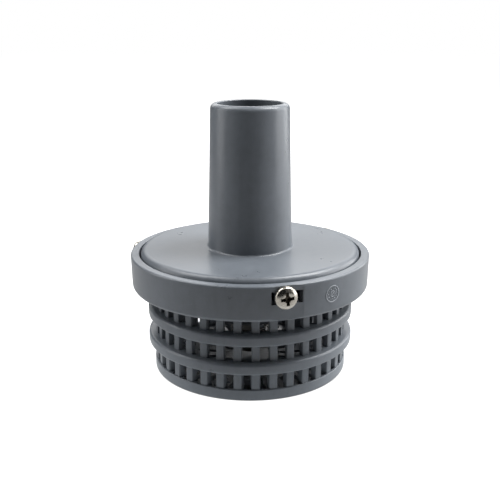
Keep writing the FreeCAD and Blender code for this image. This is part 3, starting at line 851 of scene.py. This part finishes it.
@dataclass
class ClampRing(SubAssembly):
    """Collar with an inward lip, a window and a flat for each screw, and a plain moulded dial."""

    screws: int = 3
    slot_bearing: float = math.radians(16.2)
    slot_half: float = 6.1 * MM
    slot_low: float = 42.85 * MM
    slot_high: float = 47.75 * MM
    top_radius: float = 50.0 * MM
    draft: float = 0.4 * MM
    wall: float = 3.5 * MM
    lip: float = 2.2 * MM
    lip_radius: float = 43.9 * MM
    pad_half: float = 6.7 * MM
    dial_bearing: float = math.radians(38.9)
    dial_height: float = 43.7 * MM
    dial_radius: float = 3.4 * MM
    dial_line: float = 0.42 * MM
    dial_proud: float = 0.16 * MM
    dial_marks: int = 12
    sector_steps: int = 60

    def __post_init__(self) -> None:
        """Read the ring's heights from the frame."""
        low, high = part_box("clamp_ring")
        self.low = low.z
        self.high = high.z

    def outer(self, height: float) -> float:
        """Outside radius at a height."""
        return self.top_radius - self.draft * (self.high - height) / (self.high - self.low)

    def build(self) -> None:
        """Build a third of the ring with its window and flat, repeat it and add the dial."""
        third = FULL_TURN / self.screws
        inner = self.top_radius - self.wall
        bm = turned([
            Corner(self.lip_radius, self.low, 0.5 * MM), Corner(self.outer(self.low), self.low, 1.8 * MM),
            Corner(self.top_radius, self.high, 0.9 * MM), Corner(inner, self.high, 0.3 * MM),
            Corner(inner, self.low + self.lip), Corner(self.lip_radius, self.low + self.lip, 0.3 * MM),
        ], self.sector_steps, third, 5, -third / 2)
        self.flatten_pad(bm)
        Window(self.slot_half, self.slot_half, self.slot_low, self.slot_high, inner * 0.95,
               self.top_radius * 1.01).cut(bm)
        self.soften_window(bm)
        repeat_round(bm, self.screws)
        turn = Matrix.Rotation(self.slot_bearing, 3, "Z")
        bmesh.ops.rotate(bm, cent=CENTRE, matrix=turn, verts=bm.verts[:])
        self.add("clamp_ring_skin", bm, GREY_PLASTIC, Body.HOUSING, Slot.GREY_PLASTIC, ["clamp_ring"])
        # the dial's lighter grey is a painted highlight on its raised lines
        self.add("clamp_ring_mark", self.dial(), HIGHLIT_MARK_PLASTIC, Body.HOUSING, Slot.GREY_PLASTIC, [])

    def faces_pad(self, point: Vector) -> bool:
        """Whether a point lies outside the lip, near the flat."""
        return -point.y > self.lip_radius and abs(point.x) < 3 * self.pad_half

    def flatten_pad(self, bm: bmesh.types.BMesh) -> None:
        """Press the outside flat where a screw sits, with a crisp upright border."""
        middle = (self.low + self.high) / 2
        distance = math.sqrt(self.outer(middle) ** 2 - self.pad_half ** 2)
        lean = self.draft / (self.high - self.low)
        normal = Vector((0, -1, -lean)).normalized()
        point = Vector((0, -distance, middle))
        cut_along(bm, self.faces_pad, point, normal)
        for vert in bm.verts:
            beyond = (vert.co - point).dot(normal)
            if beyond > WELD / 2:
                vert.co -= normal * beyond
        for edge in bm.edges:
            on_plane = all(abs((v.co - point).dot(normal)) < WELD for v in edge.verts)
            edge.seam = on_plane and edge.calc_face_angle(0.0) > math.radians(3)

    def soften_window(self, bm: bmesh.types.BMesh) -> None:
        """Round the window's outer rim a little."""
        rim = []
        for edge in bm.edges:
            if edge.calc_face_angle(0.0) < math.radians(60):
                continue
            ends = [v.co for v in edge.verts]
            near = all(abs(c.x) < self.slot_half + WELD and self.slot_low - WELD < c.z < self.slot_high + WELD
                       and -c.y > self.top_radius - self.wall * 0.6 for c in ends)
            if near:
                rim.append(edge)
        bmesh.ops.bevel(bm, geom=rim, offset=0.18 * MM, offset_type="OFFSET", segments=2, profile=0.5,
                        affect="EDGES", material=-1)

    def dial(self) -> bmesh.types.BMesh:
        """Raised ring, a circle of dots and a barred hub, wrapped on the ring's outside.

        Returns:
            The dial's mesh.
        """
        flat = bmesh.new()
        rings = ((self.dial_radius, self.dial_line), (self.dial_radius * 0.36, self.dial_line * 0.8))
        for radius, width in rings:
            absorb(flat, turned([
                Corner(radius - width, -self.dial_proud), Corner(radius, -self.dial_proud),
                Corner(radius, self.dial_proud, 0.1 * MM), Corner(radius - width, self.dial_proud, 0.1 * MM),
            ], 48, FULL_TURN, 2))
        for i in range(self.dial_marks):
            turn = i * FULL_TURN / self.dial_marks
            dot = bmesh.new()
            bmesh.ops.create_uvsphere(dot, u_segments=10, v_segments=6, radius=0.24 * MM)
            absorb(flat, dot, Matrix.Translation(on_bearing(self.dial_radius * 0.62, 0.0, turn)))
        bar = bmesh.new()
        bmesh.ops.create_cube(bar, size=1.0)
        bmesh.ops.bevel(bar, geom=bar.edges[:], offset=0.12, offset_type="OFFSET", segments=2, profile=0.5,
                        affect="EDGES", material=-1)
        size = Matrix.Diagonal((self.dial_radius * 0.4, self.dial_line * 0.7, self.dial_proud * 1.8, 1.0))
        absorb(flat, bar, Matrix.Rotation(math.radians(35), 4, "Z") @ size)
        for vert in flat.verts:
            height = self.dial_height + vert.co.y
            radius = self.outer(height)
            vert.co = on_bearing(radius + vert.co.z, height, self.dial_bearing + vert.co.x / radius)
        bmesh.ops.recalc_face_normals(flat, faces=flat.faces[:])
        return flat


# ---- outlet cap -----------------------------------------------------------------------------------


@dataclass
class OutletCap(SubAssembly):
    """Hose spigot, cover disc, skirt with screw bosses and the wall that presses the gasket."""

    screws: int = 3
    screw_bearing: float = math.radians(15.2)
    slot_bearing: float = math.radians(16.2)
    notch_half: float = 6.6 * MM
    tip_radius: float = 16.0 * MM
    root_radius: float = 17.6 * MM
    spigot_wall: float = 1.9 * MM
    tip_wall: float = 2.75 * MM
    tip_edge: float = 2.2 * MM
    bore_edge: float = 0.45 * MM
    spigot_length: float = 59.3 * MM
    cover: float = 3.0 * MM
    cover_edge: float = 2.8 * MM
    skirt: float = 2.4 * MM
    skirt_height: float = 6.9 * MM
    seal_radius: float = 38.0 * MM
    seal_wall: float = 3.0 * MM
    gasket: float = 1.0 * MM
    boss_radius: float = 3.3 * MM
    boss_hole: float = 2.15 * MM
    screw_up: float = 3.5 * MM
    ribs: int = 6
    rib: float = 1.8 * MM
    rib_height: float = 3.0 * MM
    sector_steps: int = 60

    def __post_init__(self) -> None:
        """Work out the cap's heights from its tip."""
        self.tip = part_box("outlet_cap")[1].z
        self.top = self.tip - self.spigot_length
        self.under = self.top - self.cover
        self.skirt_low = self.under - self.skirt_height
        self.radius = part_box("outlet_cap")[1].y

    def build(self) -> None:
        """Build a third of the cap with its notch, repeat it, then add bosses and ribs."""
        third = FULL_TURN / self.screws
        wall = self.spigot_wall
        bm = turned([
            Corner(self.root_radius - wall, self.under, 0.25 * MM),
            Corner(self.tip_radius - self.tip_wall, self.tip, self.bore_edge),
            Corner(self.tip_radius, self.tip, self.tip_edge), Corner(self.root_radius, self.top, 0.8 * MM),
            Corner(self.radius, self.top, self.cover_edge), Corner(self.radius, self.skirt_low, 0.3 * MM),
            Corner(self.radius - self.skirt, self.skirt_low, 0.3 * MM),
            Corner(self.radius - self.skirt, self.under),
            Corner(self.seal_radius, self.under), Corner(self.seal_radius, self.skirt_low + self.gasket),
            Corner(self.seal_radius - self.seal_wall, self.skirt_low + self.gasket),
            Corner(self.seal_radius - self.seal_wall, self.under),
        ], self.sector_steps, third, 6, -third / 2)
        Window(self.notch_half, self.notch_half, self.skirt_low + 0.5 * MM, self.skirt_low + 5.65 * MM,
               (self.radius - self.skirt) * 0.975, self.radius * 1.01).cut(bm)
        repeat_round(bm, self.screws)
        turn = Matrix.Rotation(self.slot_bearing, 3, "Z")
        bmesh.ops.rotate(bm, cent=CENTRE, matrix=turn, verts=bm.verts[:])
        for i in range(self.screws):
            place = radial_place(self.screw_bearing + i * third, 0.0, self.skirt_low + self.screw_up)
            absorb(bm, self.boss(), place)
        for i in range(self.ribs):
            absorb(bm, self.one_rib(), Matrix.Rotation(i * FULL_TURN / self.ribs, 4, "Z"))
        self.add("outlet_cap_skin", bm, GREY_PLASTIC, Body.HOUSING, Slot.GREY_PLASTIC, ["outlet_cap"])

    def boss(self) -> bmesh.types.BMesh:
        """One screw boss, standing along +Z.

        Returns:
            The boss's mesh.
        """
        near = self.seal_radius + 0.7 * MM
        far = self.radius - 0.4 * MM
        return turned([
            Corner(0.0, near), Corner(self.boss_radius, near), Corner(self.boss_radius, far, 0.3 * MM),
            Corner(self.boss_hole, far, 0.3 * MM), Corner(self.boss_hole, near + 1.1 * MM),
            Corner(0.0, near + 1.1 * MM),
        ], 32, FULL_TURN, 2)

    def one_rib(self) -> bmesh.types.BMesh:
        """One stiffening rib under the cover, towards -Y.

        Returns:
            The rib's mesh.
        """
        bm = bmesh.new()
        near = self.root_radius
        far = self.seal_radius - self.seal_wall / 2
        low = self.under - self.rib_height
        high = self.under + 0.5 * MM
        bmesh.ops.create_cube(bm, size=1.0)
        bmesh.ops.scale(bm, vec=(self.rib, far - near, high - low), verts=bm.verts[:])
        bmesh.ops.translate(bm, vec=(0, -(near + far) / 2, (low + high) / 2), verts=bm.verts[:])
        lower = [e for e in bm.edges if all(v.co.z < self.under for v in e.verts)]
        bmesh.ops.bevel(bm, geom=lower, offset=0.3 * MM, offset_type="OFFSET", segments=2, profile=0.5,
                        affect="EDGES", material=-1)
        return bm


# ---- screws ---------------------------------------------------------------------------------------


@dataclass
class ClampScrews(SubAssembly):
    """Pan-head self-tapping screws with a cross recess."""

    names: Tuple[str, ...] = ("clamp_screw_a", "clamp_screw_b", "clamp_screw_c")
    bearing: float = math.radians(15.2)
    seat: float = 49.62 * MM
    head_radius: float = 4.4 * MM
    head_height: float = 3.0 * MM
    shank_radius: float = 2.1 * MM
    core_radius: float = 1.6 * MM
    length: float = 9.5 * MM
    thread_pitch: float = 1.4 * MM
    recess_reach: float = 2.6 * MM
    recess_half: float = 0.62 * MM
    recess_core: float = 1.9 * MM
    recess_depth: float = 2.0 * MM
    recess_steps: Tuple[Tuple[float, float], ...] = ((0.30, 0.94), (0.75, 0.74), (1.0, 0.40))
    turns: Tuple[float, ...] = (0.10, 0.75, 1.25)

    def build(self) -> None:
        """Build each screw, turned by its own amount, and stand it at its bearing."""
        for i, node in enumerate(self.names):
            height = (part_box(node)[0].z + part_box(node)[1].z) / 2
            bm = self.screw()
            turn = Matrix.Rotation(self.turns[i], 3, "Z")
            bmesh.ops.rotate(bm, cent=CENTRE, matrix=turn, verts=bm.verts[:])
            place = radial_place(self.bearing + i * FULL_TURN / len(self.names), self.seat, height)
            bmesh.ops.transform(bm, matrix=place, verts=bm.verts[:])
            piece = self.add(node + "_skin", bm, PLATED_STEEL, Body.HOUSING, Slot.PLATED_STEEL, [node])
            # second slot: the dark steel that paints the shade into the cross recess
            piece.data.materials.append(SHADED_RECESS_STEEL.material())

    def screw(self) -> bmesh.types.BMesh:
        """One screw along +Z, the underside of its head at 0.

        Returns:
            The screw's mesh.
        """
        corners = [Corner(0.0, -self.length), Corner(self.core_radius * 0.5, -self.length, 0.2 * MM)]
        turns = int(self.length / self.thread_pitch) - 1
        for i in range(turns):
            low = -self.length + (i + 1.0) * self.thread_pitch
            corners += [Corner(self.core_radius, low - 0.45 * self.thread_pitch),
                        Corner(self.shank_radius, low, 0.05 * MM)]
        corners += [
            Corner(self.core_radius, -0.9 * MM), Corner(self.core_radius, 0.0, 0.15 * MM),
            Corner(self.head_radius, 0.0, 0.3 * MM), Corner(self.head_radius, 1.75 * MM, 1.15 * MM),
            Corner(2.6 * MM, self.head_height - 0.12 * MM, 3.0 * MM), Corner(0.0, self.head_height),
        ]
        bm = turned(corners, 64, FULL_TURN, 6)
        self.sink_recess(bm)
        return bm

    def on_crown(self, point: Vector) -> bool:
        """Whether a point lies on the upper part of the head."""
        return point.z > self.head_height * 0.6

    def sink_recess(self, bm: bmesh.types.BMesh) -> None:
        """Sink a cross into the head's crown: cut its outline, drop the faces and draw the rim down."""
        for quarter in range(4):
            turn = Matrix.Rotation(math.radians(90 * quarter), 3, "Z")
            for offset in (self.recess_half, self.recess_reach):
                cut_along(bm, self.on_crown, turn @ Vector((offset, 0, 0)), turn @ Vector((1, 0, 0)))
            slant = turn @ Vector((1, 1, 0)).normalized()
            cut_along(bm, self.on_crown, slant * self.recess_core / math.sqrt(2), slant)
        doomed = [f for f in bm.faces
                  if self.on_crown(f.calc_center_median()) and self.in_cross(f.calc_center_median())]
        bmesh.ops.delete(bm, geom=doomed, context="FACES")
        rim = [e for e in bm.edges if e.is_boundary]
        reach = 1.0
        for depth, shrink in self.recess_steps:
            made = bmesh.ops.extrude_edge_only(bm, edges=rim)["geom"]
            verts = [g for g in made if isinstance(g, bmesh.types.BMVert)]
            rim = [g for g in made if isinstance(g, bmesh.types.BMEdge) and g.is_boundary]
            # the recess walls take the second slot, the dark steel of painted shade
            for face in {f for v in verts for f in v.link_faces}:
                face.material_index = 1
            ratio = shrink / reach
            reach = shrink
            level = self.head_height - self.recess_depth * depth
            for vert in verts:
                vert.co = Vector((vert.co.x * ratio, vert.co.y * ratio, level))
        # the recess floor also takes the painted shade steel
        for face in bmesh.ops.holes_fill(bm, edges=rim, sides=0)["faces"]:
            face.material_index = 1
        tidy(bm)

    def in_cross(self, point: Vector) -> bool:
        """Whether a point of the crown lies in the recess's outline."""
        across, along = sorted((abs(point.x), abs(point.y)))
        wing = across < self.recess_half and along < self.recess_reach
        return wing or across + along < self.recess_core


# ---- valve inside ---------------------------------------------------------------------------------


@dataclass
class ReturnSpring(SubAssembly):
    """Coil spring with closed ends."""

    coil_radius: float = 8.0 * MM
    wire_radius: float = 0.4 * MM
    open_turns: float = 4.0
    closed_turns: float = 1.0
    steps_per_turn: int = 40
    wire_sides: int = 12

    def build(self) -> None:
        """Spin a wire section up the coil and close its ends."""
        low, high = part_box("return_spring")
        end_pitch = 2.05 * self.wire_radius
        bottom = low.z + self.wire_radius
        height = high.z - low.z - 2 * self.wire_radius
        open_pitch = (height - 2 * self.closed_turns * end_pitch) / self.open_turns
        bm = bmesh.new()
        circle = bmesh.ops.create_circle(bm, segments=self.wire_sides, radius=self.wire_radius, cap_ends=True)
        place = Matrix.Translation((self.coil_radius, 0, bottom)) @ Matrix.Rotation(math.radians(90), 4, "X")
        bmesh.ops.transform(bm, matrix=place, verts=circle["verts"])
        section = bm.verts[:] + bm.edges[:] + bm.faces[:]
        for turns, pitch in ((self.closed_turns, end_pitch), (self.open_turns, open_pitch),
                             (self.closed_turns, end_pitch)):
            steps = round(turns * self.steps_per_turn)
            rise = Vector((0, 0, pitch / self.steps_per_turn))
            section = bmesh.ops.spin(bm, geom=section, cent=CENTRE, axis=UP, dvec=rise,
                                     angle=turns * FULL_TURN, steps=steps, use_duplicate=False)["geom_last"]
        inside = [f for f in bm.faces if len(f.verts) == self.wire_sides]
        bmesh.ops.delete(bm, geom=inside[1:-1], context="FACES_ONLY")
        tidy(bm)
        piece = self.add("return_spring_coil", bm, SPRING_WIRE, Body.HOUSING, Slot.SPRING_STEEL,
                         ["return_spring"])
        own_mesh(piece)


@dataclass
class ValveInside(SubAssembly):
    """The valve body and the poppet, whose frame shapes stay and get real finishes."""

    def build(self) -> None:
        """Dress each node that is kept."""
        finishes = {
            "valve_body": BODY_PLASTIC, "cap_gasket": BLACK_RUBBER, "guide_bush": BEARING_PLASTIC,
            "valve_stem": STAINLESS, "seal_plate": STAINLESS, "poppet_seal": BLACK_RUBBER,
            "poppet_disc": BODY_PLASTIC, "top_washer": STAINLESS, "top_nut": STAINLESS,
            "spring_retainer": STAINLESS, "stem_lock_nut": STAINLESS,
        }
        for node, finish in finishes.items():
            self.dress_node(node, finish)


# ---- studio ---------------------------------------------------------------------------------------


@dataclass(frozen=True)
class SoftBox:
    """One large area light that looks at the valve."""

    name: str
    place: Tuple[float, float, float]
    size: Tuple[float, float]
    watts: float

    def hang(self, target: Vector) -> None:
        """Put the light up.

        Args:
            target: point it looks at.
        """
        lamp = bpy.data.lights.new(self.name, "AREA")
        lamp.shape = "RECTANGLE"
        lamp.size, lamp.size_y = self.size
        lamp.energy = self.watts
        holder = bpy.data.objects.new(self.name, lamp)
        holder.location = self.place
        holder.rotation_euler = (target - Vector(self.place)).to_track_quat("-Z", "Y").to_euler()
        holder.visible_camera = False
        bpy.context.scene.collection.objects.link(holder)


@dataclass
class Studio:
    """Pale floor, soft light and the camera."""

    camera_back: float = 0.32576
    camera_up: float = 0.14445
    look_down: float = math.radians(16.22)
    lens: float = 57.74
    floor_half: float = 3.0
    floor_shade: float = 0.35
    foot_radius: float = 40.2 * MM
    foot_blur: float = 0.9 * MM
    glow: float = 0.75
    glow_radius: float = 72.0 * MM
    glow_height: float = 0.4 * MM
    air: float = 0.003
    lights: Tuple[SoftBox, ...] = (
        SoftBox("right_top_box", (0.40, 0.10, 0.70), (0.40, 0.50), 8.0),
        SoftBox("left_top_box", (-0.40, 0.10, 0.70), (0.40, 0.50), 3.5),
        SoftBox("back_box", (0.0, 0.75, 0.46), (1.10, 0.42), 3.3),
        SoftBox("right_back_box", (0.60, 0.35, 0.22), (0.35, 0.45), 2.0),
        SoftBox("right_box", (0.70, 0.0, 0.22), (0.35, 0.45), 1.9),
        SoftBox("left_box", (-0.70, 0.0, 0.22), (0.35, 0.45), 1.45),
        SoftBox("front_top_strip", (0.0, -0.10, 0.80), (0.50, 0.10), 0.3),
        SoftBox("right_front_low", (0.50, -0.45, 0.04), (0.30, 0.10), 0.08),
        SoftBox("left_front_strip", (-0.55, -0.42, 0.16), (0.07, 0.40), 0.12),
        SoftBox("foot_box", (0.15, -0.25, -0.60), (0.60, 0.60), 0.8),
    )

    def build(self) -> None:
        """Set up the floor, the lights, the surroundings and the camera."""
        self.floor()
        self.light_table()
        middle = Vector((0.0, 0.0, (CAD_BOX[0][2] + CAD_BOX[1][2]) / 2))
        for light in self.lights:
            light.hang(middle)
        self.surroundings()
        bpy.context.scene.view_settings.view_transform = "Standard"
        self.camera()

    def surroundings(self) -> None:
        """White behind the valve for the camera, dim blue-grey air for everything else."""
        world = bpy.data.worlds.new("studio_air")
        world.use_nodes = True
        tree = world.node_tree
        seen = add_node(tree, "ShaderNodeLightPath").outputs["Is Camera Ray"]
        strength = remap(tree, seen, 0.0, 1.0, self.air, 1.0)
        colour = add_node(tree, "ShaderNodeMix", data_type="RGBA")
        tree.links.new(seen, colour.inputs[0])
        colour.inputs[6].default_value = (0.86, 0.92, 1.0, 1.0)
        colour.inputs[7].default_value = (1.0, 1.0, 1.0, 1.0)
        tree.links.new(colour.outputs[2], tree.nodes["Background"].inputs["Color"])
        tree.links.new(strength, tree.nodes["Background"].inputs["Strength"])
        bpy.context.scene.world = world

    def floor(self) -> None:
        """Flat pale floor that the camera sees as white paper, clear from beneath and under the foot."""
        bm = bmesh.new()
        bmesh.ops.create_grid(bm, x_segments=1, y_segments=1, size=self.floor_half)
        mesh = bpy.data.meshes.new("studio_floor")
        bm.to_mesh(mesh)
        bm.free()
        pale = bpy.data.materials.new("pale_paper")
        pale.use_nodes = True
        tree = pale.node_tree
        skin = tree.nodes["Principled BSDF"]
        seen = add_node(tree, "ShaderNodeLightPath").outputs["Is Camera Ray"]
        away = add_node(tree, "ShaderNodeVectorMath", operation="LENGTH")
        tree.links.new(add_node(tree, "ShaderNodeTexCoord").outputs["Object"], away.inputs[0])
        clear = remap(tree, away.outputs["Value"], self.foot_radius, self.foot_radius + self.foot_blur)
        skin.inputs["Base Color"].default_value = (self.floor_shade, self.floor_shade, self.floor_shade, 1.0)
        skin.inputs["Roughness"].default_value = 0.9
        skin.inputs["Emission Color"].default_value = (1.0, 1.0, 1.0, 1.0)
        tree.links.new(calc(tree, "MULTIPLY", seen, clear), skin.inputs["Emission Strength"])
        beneath = add_node(tree, "ShaderNodeNewGeometry").outputs["Backfacing"]
        shadow = add_node(tree, "ShaderNodeLightPath").outputs["Is Shadow Ray"]
        hole = calc(tree, "MULTIPLY", shadow, remap(tree, clear, 0.0, 1.0, 1.0, 0.0))
        one_sided = add_node(tree, "ShaderNodeMixShader")
        tree.links.new(calc(tree, "MAXIMUM", beneath, hole), one_sided.inputs[0])
        tree.links.new(skin.outputs["BSDF"], one_sided.inputs[1])
        tree.links.new(add_node(tree, "ShaderNodeBsdfTransparent").outputs["BSDF"], one_sided.inputs[2])
        tree.links.new(one_sided.outputs["Shader"], tree.nodes["Material Output"].inputs["Surface"])
        mesh.materials.append(pale)
        floor = bpy.data.objects.new("studio_floor", mesh)
        bpy.context.scene.collection.objects.link(floor)

    def light_table(self) -> None:
        """Glowing ring of table round the foot, which only the valve sees."""
        inner = self.foot_radius + self.foot_blur
        bm = turned([Corner(inner, 0.0), Corner(self.glow_radius, 0.0),
                     Corner(self.glow_radius, self.glow_height), Corner(inner, self.glow_height)], 48)
        mesh = bpy.data.meshes.new("light_table")
        bm.to_mesh(mesh)
        bm.free()
        lamp = bpy.data.materials.new("table_glow")
        lamp.use_nodes = True
        skin = lamp.node_tree.nodes["Principled BSDF"]
        skin.inputs["Base Color"].default_value = (0.0, 0.0, 0.0, 1.0)
        skin.inputs["Emission Color"].default_value = (0.95, 0.98, 1.0, 1.0)
        skin.inputs["Emission Strength"].default_value = self.glow
        mesh.materials.append(lamp)
        table = bpy.data.objects.new("light_table", mesh)
        table.visible_camera = False
        bpy.context.scene.collection.objects.link(table)

    def camera(self) -> None:
        """Place the camera in front of the valve, looking a little down."""
        lens = bpy.data.cameras.new("front_camera")
        lens.lens = self.lens
        lens.sensor_width = 36.0
        lens.clip_start = 0.01
        holder = bpy.data.objects.new("front_camera", lens)
        holder.location = (0.0, -self.camera_back, self.camera_up)
        holder.rotation_euler = (math.radians(90) - self.look_down, 0.0, 0.0)
        bpy.context.scene.collection.objects.link(holder)
        bpy.context.scene.camera = holder


# ---- everything in order --------------------------------------------------------------------------


def main() -> None:
    """Build the foot valve's sub-assemblies in order and report each piece."""
    logging.basicConfig(level=logging.INFO, format="%(message)s")
    for group in (StrainerBasket(), ClampRing(), OutletCap(), ClampScrews(), ReturnSpring(), ValveInside()):
        group.build()
        for piece in group.pieces:
            log.info("%s: %d faces", piece.name, len(piece.data.polygons))
    Studio().build()


if __name__ == "__main__":
    main()
